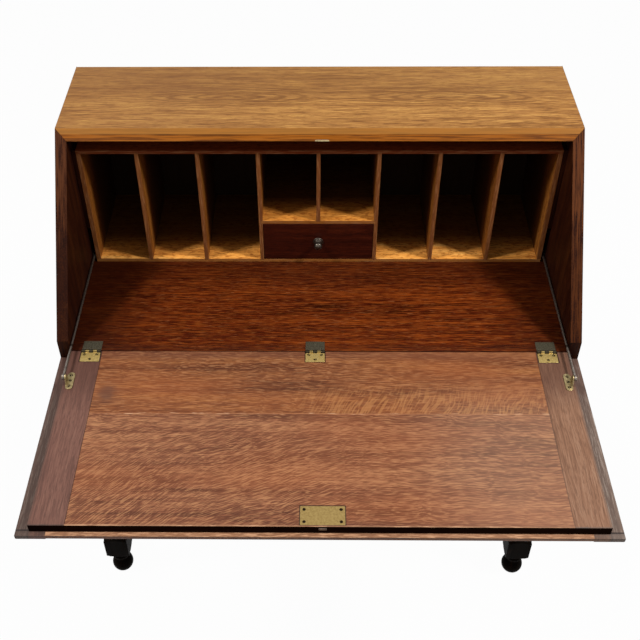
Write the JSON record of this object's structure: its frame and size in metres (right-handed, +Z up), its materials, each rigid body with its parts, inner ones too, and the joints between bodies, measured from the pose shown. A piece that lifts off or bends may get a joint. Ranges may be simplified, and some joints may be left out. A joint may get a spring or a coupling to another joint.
{
  "type": "writing bureau",
  "caption": "Slant front writing bureau with a hinged fall on stay rods, pigeonholes, a small inner drawer, a long drawer and turned legs.",
  "frame": {"origin": "middle of the floor under the bureau with its fall open: the bottom centre of its bounding box at rest", "axes": "+X to the right of a person sitting at it, +Y from the front to the back, +Z up"},
  "size_m": [0.934, 0.8272, 1.026],
  "materials": {
    "oak_side": "waxed satin",
    "oak_top": "waxed satin",
    "oak_ply": "raw",
    "oak_writing": "polished",
    "oak_lining": "raw",
    "oak_pigeonhole": "satin",
    "mahogany_front": "polished",
    "dark_bronze": "patinated",
    "oak_fall": "polished",
    "oak_cleat": "polished",
    "aged_brass": "aged",
    "tarnished_brass": "tarnished",
    "dull_steel": "dull",
    "oak_leg": "dark polish"
  },
  "bodies": {
    "case": {"case_side_left": "oak_side", "case_side_right": "oak_side", "top_board": "oak_top", "back_panel": "oak_ply", "writing_board": "oak_writing", "writing_board_lipping": "oak_writing", "bottom_board": "oak_lining", "pigeonhole_base": "oak_pigeonhole", "pigeonhole_top": "oak_pigeonhole", "pigeonhole_end_left": "oak_pigeonhole", "pigeonhole_end_right": "oak_pigeonhole", "stay_slot_filler_left": "oak_pigeonhole", "stay_slot_filler_right": "oak_pigeonhole", "pigeonhole_divider_short": "oak_pigeonhole", "pigeonhole_shelf": "oak_pigeonhole", "stay_stop_pegs": "dull_steel", "hinge_leaves_case": "tarnished_brass", "hinge_pins": "dull_steel", "case_hinge_screws": "tarnished_brass", "lock_strike": "aged_brass", "leg_front_left": "oak_leg", "leg_front_right": "oak_leg", "leg_back_left": "oak_leg", "leg_back_right": "oak_leg", "side_rail_left": "oak_leg", "side_rail_right": "oak_leg", "stretcher_side_left": "oak_leg", "stretcher_side_right": "oak_leg", "stretcher_cross": "oak_leg", "pigeonhole_divider_1": "oak_pigeonhole", "pigeonhole_divider_2": "oak_pigeonhole", "pigeonhole_divider_3": "oak_pigeonhole", "pigeonhole_divider_5": "oak_pigeonhole", "pigeonhole_divider_6": "oak_pigeonhole", "pigeonhole_divider_7": "oak_pigeonhole"},
    "fall": {"fall_rear_board": "oak_fall", "fall_front_board": "oak_fall", "fall_cleat_left": "oak_cleat", "fall_cleat_right": "oak_cleat", "stay_bracket_left": "aged_brass", "stay_bracket_right": "aged_brass", "hinge_leaves_fall": "aged_brass", "fall_fitting_screws": "aged_brass", "lock_case": "aged_brass", "keyhole_escutcheon": "aged_brass"},
    "lock_bolt": {"lock_bolt": "dull_steel"},
    "stay_left": {"stay_rod_left": "dull_steel"},
    "stay_right": {"stay_rod_right": "dull_steel"},
    "small_drawer": {"small_drawer_front": "mahogany_front", "small_drawer_side_left": "oak_lining", "small_drawer_side_right": "oak_lining", "small_drawer_back": "oak_lining", "small_drawer_bottom": "oak_lining", "small_drawer_knob": "dark_bronze"},
    "long_drawer": {"long_drawer_front": "oak_side", "long_drawer_side_left": "oak_lining", "long_drawer_side_right": "oak_lining", "long_drawer_back": "oak_lining", "long_drawer_bottom": "oak_ply", "long_drawer_knobs": "dark_bronze"}
  },
  "joints": [
    {"name": "fall_hinge", "type": "hinge", "parent": "case", "child": "fall", "pos_m": [0, -0.04236, 0.725], "axis": [-1, 0, 0], "range_deg": [0, 131.4]},
    {"name": "lock_bolt_slide", "type": "slide", "parent": "fall", "child": "lock_bolt", "axis": [0, -1, 0], "range_m": [0, 0.013]},
    {"name": "stay_left_pivot", "type": "hinge", "parent": "fall", "child": "stay_left", "pos_m": [-0.433, -0.11636, 0.7385], "axis": [1, 0, 0], "range_deg": [0, 126.4]},
    {"name": "stay_right_pivot", "type": "hinge", "parent": "fall", "child": "stay_right", "pos_m": [0.433, -0.11636, 0.7385], "axis": [1, 0, 0], "range_deg": [0, 126.4]},
    {"name": "small_drawer_slide", "type": "slide", "parent": "case", "child": "small_drawer", "axis": [0, -1, 0], "range_m": [0, 0.135]},
    {"name": "long_drawer_slide", "type": "slide", "parent": "case", "child": "long_drawer", "axis": [0, -1, 0], "range_m": [0, 0.3]}
  ],
  "couplings": [
    {"joint": "stay_left_pivot", "follows": "fall_hinge", "ratio": 0.96194},
    {"joint": "stay_right_pivot", "follows": "fall_hinge", "ratio": 0.96194}
  ]
}
